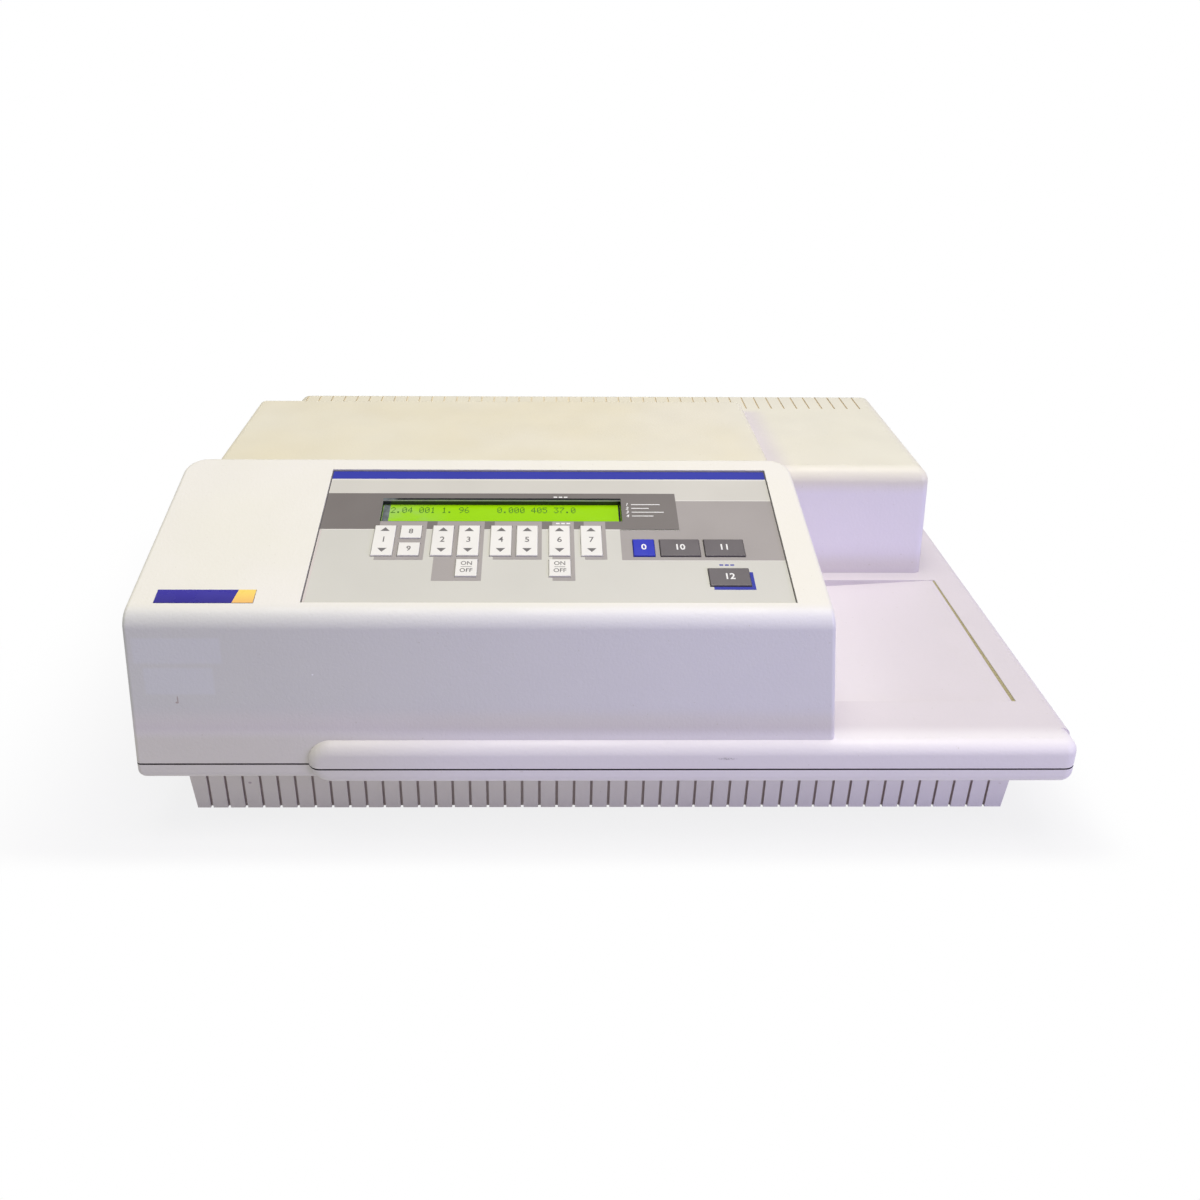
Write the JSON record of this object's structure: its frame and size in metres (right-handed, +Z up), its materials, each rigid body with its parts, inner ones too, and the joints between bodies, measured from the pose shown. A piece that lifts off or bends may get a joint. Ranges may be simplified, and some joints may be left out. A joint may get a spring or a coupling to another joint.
{
  "type": "microplate reader",
  "caption": "Bench plate reader with a sloped key panel and display on a raised left housing, a low side deck with a sliding plate drawer, and a ribbed base.",
  "frame": {"origin": "centre of the bounding box footprint at the underside of the rubber feet", "axes": "+X to the right as seen from the front, the way the drawer opens; +Y to the rear; +Z up"},
  "size_m": [0.578, 0.382, 0.1984],
  "materials": {
    "cover": "fine texture",
    "foot_rubber": "matt",
    "screw_steel": "plain",
    "strip_foam": "matt",
    "panel_grey": "satin film",
    "board_green": "solder mask",
    "black_plastic": "moulded",
    "display_green": "backlit film",
    "badge_blue": "printed foil",
    "carriage_black": "moulded",
    "bearing_brass": "machined",
    "aluminium_parts": "machined",
    "rod_steel": "ground",
    "bar_black": "black anodised look",
    "motor_black": "satin",
    "belt_rubber": "moulded",
    "grating_mirror": "coated",
    "lamp_glass": "clear",
    "fibre_sleeve": "sleeve",
    "sheet_steel": "zinc look",
    "rear_paint": "light grey paint",
    "rocker_black": "polished",
    "key_white": "satin",
    "key_blue": "satin",
    "key_dark": "satin"
  },
  "bodies": {
    "base": {"top_cover": "cover", "bottom_cover": "cover", "rubber_feet": "foot_rubber", "cover_screws": "screw_steel", "chassis_screws": "screw_steel", "bay_strip": "strip_foam", "control_panel": "panel_grey", "keypad_board": "board_green", "lcd_frame": "black_plastic", "lcd_glass": "display_green", "badge_plate": "badge_blue", "guide_rods": "rod_steel", "rod_posts": "aluminium_parts", "detector_bar": "bar_black", "optics_bar": "bar_black", "optics_posts": "aluminium_parts", "idler_post": "rod_steel", "drive_motor": "motor_black", "drive_belt": "belt_rubber", "grating_case": "bar_black", "lamp_housing": "aluminium_parts", "flash_lamp": "lamp_glass", "fibre_bundle": "fibre_sleeve", "chassis_plate": "sheet_steel", "main_board": "board_green", "power_supply": "sheet_steel", "rear_panel": "rear_paint", "fan_housing": "black_plastic", "mains_inlet": "black_plastic", "switch_bezel": "black_plastic", "serial_ports": "rod_steel"},
    "drawer": {"drawer_carriage": "carriage_black", "drawer_front": "cover", "drawer_bearings": "bearing_brass", "belt_clamp": "aluminium_parts", "plate_spring": "screw_steel"},
    "drive_pulley_body": {"drive_pulley": "aluminium_parts"},
    "idler_pulley_body": {"idler_pulley": "aluminium_parts"},
    "grating_body": {"grating_table": "aluminium_parts", "grating": "grating_mirror"},
    "fan_body": {"fan_rotor": "black_plastic"},
    "rocker_body": {"power_rocker": "rocker_black"},
    "key_setup_body": {"key_setup": "key_white"},
    "key_save_body": {"key_save": "key_white"},
    "key_recall_body": {"key_recall": "key_white"},
    "key_wave_one_body": {"key_wave_one": "key_white"},
    "key_wave_two_body": {"key_wave_two": "key_white"},
    "key_wave_switch_body": {"key_wave_switch": "key_white"},
    "key_mode_body": {"key_mode": "key_white"},
    "key_time_body": {"key_time": "key_white"},
    "key_temp_body": {"key_temp": "key_white"},
    "key_temp_switch_body": {"key_temp_switch": "key_white"},
    "key_mix_body": {"key_mix": "key_white"},
    "key_shift_body": {"key_shift": "key_blue"},
    "key_print_body": {"key_print": "key_dark"},
    "key_drawer_body": {"key_drawer": "key_dark"},
    "key_read_body": {"key_read": "key_dark"}
  },
  "joints": [
    {"name": "drawer_slide", "type": "slide", "parent": "base", "child": "drawer", "axis": [1, 0, 0], "range_m": [0, 0.118]},
    {"name": "drive_turn", "type": "hinge", "parent": "base", "child": "drive_pulley_body", "pos_m": [-0.103, -0.06885, 0.0621], "axis": [0, 0, 1], "range_deg": [0, 705]},
    {"name": "idler_turn", "type": "hinge", "parent": "base", "child": "idler_pulley_body", "pos_m": [0.095, -0.06885, 0.0621], "axis": [0, 0, 1], "range_deg": [0, 705]},
    {"name": "grating_turn", "type": "hinge", "parent": "base", "child": "grating_body", "pos_m": [-0.198, 0.0626, 0.036], "axis": [0, 0, 1], "range_deg": [-22, 26]},
    {"name": "fan_spin", "type": "hinge", "parent": "base", "child": "fan_body", "pos_m": [0.197, 0.175, 0.1169], "axis": [0, 1, 0], "continuous": true},
    {"name": "power_rock", "type": "hinge", "parent": "base", "child": "rocker_body", "pos_m": [-0.1561, 0.181, 0.1169], "axis": [1, 0, 0], "range_deg": [-14, 0]},
    {"name": "press_setup", "type": "slide", "parent": "base", "child": "key_setup_body", "axis": [0, 0.2725, -0.9622], "range_m": [0, 0.0005], "stiffness_N_per_m": 1200, "springref_m": -0.0002},
    {"name": "press_save", "type": "slide", "parent": "base", "child": "key_save_body", "axis": [0, 0.2725, -0.9622], "range_m": [0, 0.0005], "stiffness_N_per_m": 1200, "springref_m": -0.0002},
    {"name": "press_recall", "type": "slide", "parent": "base", "child": "key_recall_body", "axis": [0, 0.2725, -0.9622], "range_m": [0, 0.0005], "stiffness_N_per_m": 1200, "springref_m": -0.0002},
    {"name": "press_wave_one", "type": "slide", "parent": "base", "child": "key_wave_one_body", "axis": [0, 0.2725, -0.9622], "range_m": [0, 0.0005], "stiffness_N_per_m": 1200, "springref_m": -0.0002},
    {"name": "press_wave_two", "type": "slide", "parent": "base", "child": "key_wave_two_body", "axis": [0, 0.2725, -0.9622], "range_m": [0, 0.0005], "stiffness_N_per_m": 1200, "springref_m": -0.0002},
    {"name": "press_wave_switch", "type": "slide", "parent": "base", "child": "key_wave_switch_body", "axis": [0, 0.2725, -0.9622], "range_m": [0, 0.0005], "stiffness_N_per_m": 1200, "springref_m": -0.0002},
    {"name": "press_mode", "type": "slide", "parent": "base", "child": "key_mode_body", "axis": [0, 0.2725, -0.9622], "range_m": [0, 0.0005], "stiffness_N_per_m": 1200, "springref_m": -0.0002},
    {"name": "press_time", "type": "slide", "parent": "base", "child": "key_time_body", "axis": [0, 0.2725, -0.9622], "range_m": [0, 0.0005], "stiffness_N_per_m": 1200, "springref_m": -0.0002},
    {"name": "press_temp", "type": "slide", "parent": "base", "child": "key_temp_body", "axis": [0, 0.2725, -0.9622], "range_m": [0, 0.0005], "stiffness_N_per_m": 1200, "springref_m": -0.0002},
    {"name": "press_temp_switch", "type": "slide", "parent": "base", "child": "key_temp_switch_body", "axis": [0, 0.2725, -0.9622], "range_m": [0, 0.0005], "stiffness_N_per_m": 1200, "springref_m": -0.0002},
    {"name": "press_mix", "type": "slide", "parent": "base", "child": "key_mix_body", "axis": [0, 0.2725, -0.9622], "range_m": [0, 0.0005], "stiffness_N_per_m": 1200, "springref_m": -0.0002},
    {"name": "press_shift", "type": "slide", "parent": "base", "child": "key_shift_body", "axis": [0, 0.2725, -0.9622], "range_m": [0, 0.0005], "stiffness_N_per_m": 1200, "springref_m": -0.0002},
    {"name": "press_print", "type": "slide", "parent": "base", "child": "key_print_body", "axis": [0, 0.2725, -0.9622], "range_m": [0, 0.0005], "stiffness_N_per_m": 1200, "springref_m": -0.0002},
    {"name": "press_drawer", "type": "slide", "parent": "base", "child": "key_drawer_body", "axis": [0, 0.2725, -0.9622], "range_m": [0, 0.0005], "stiffness_N_per_m": 1200, "springref_m": -0.0002},
    {"name": "press_read", "type": "slide", "parent": "base", "child": "key_read_body", "axis": [0, 0.2725, -0.9622], "range_m": [0, 0.0005], "stiffness_N_per_m": 1200, "springref_m": -0.0002}
  ],
  "couplings": [
    {"joint": "drive_turn", "follows": "drawer_slide", "rad_per_m": 103.63},
    {"joint": "idler_turn", "follows": "drawer_slide", "rad_per_m": 103.63}
  ]
}
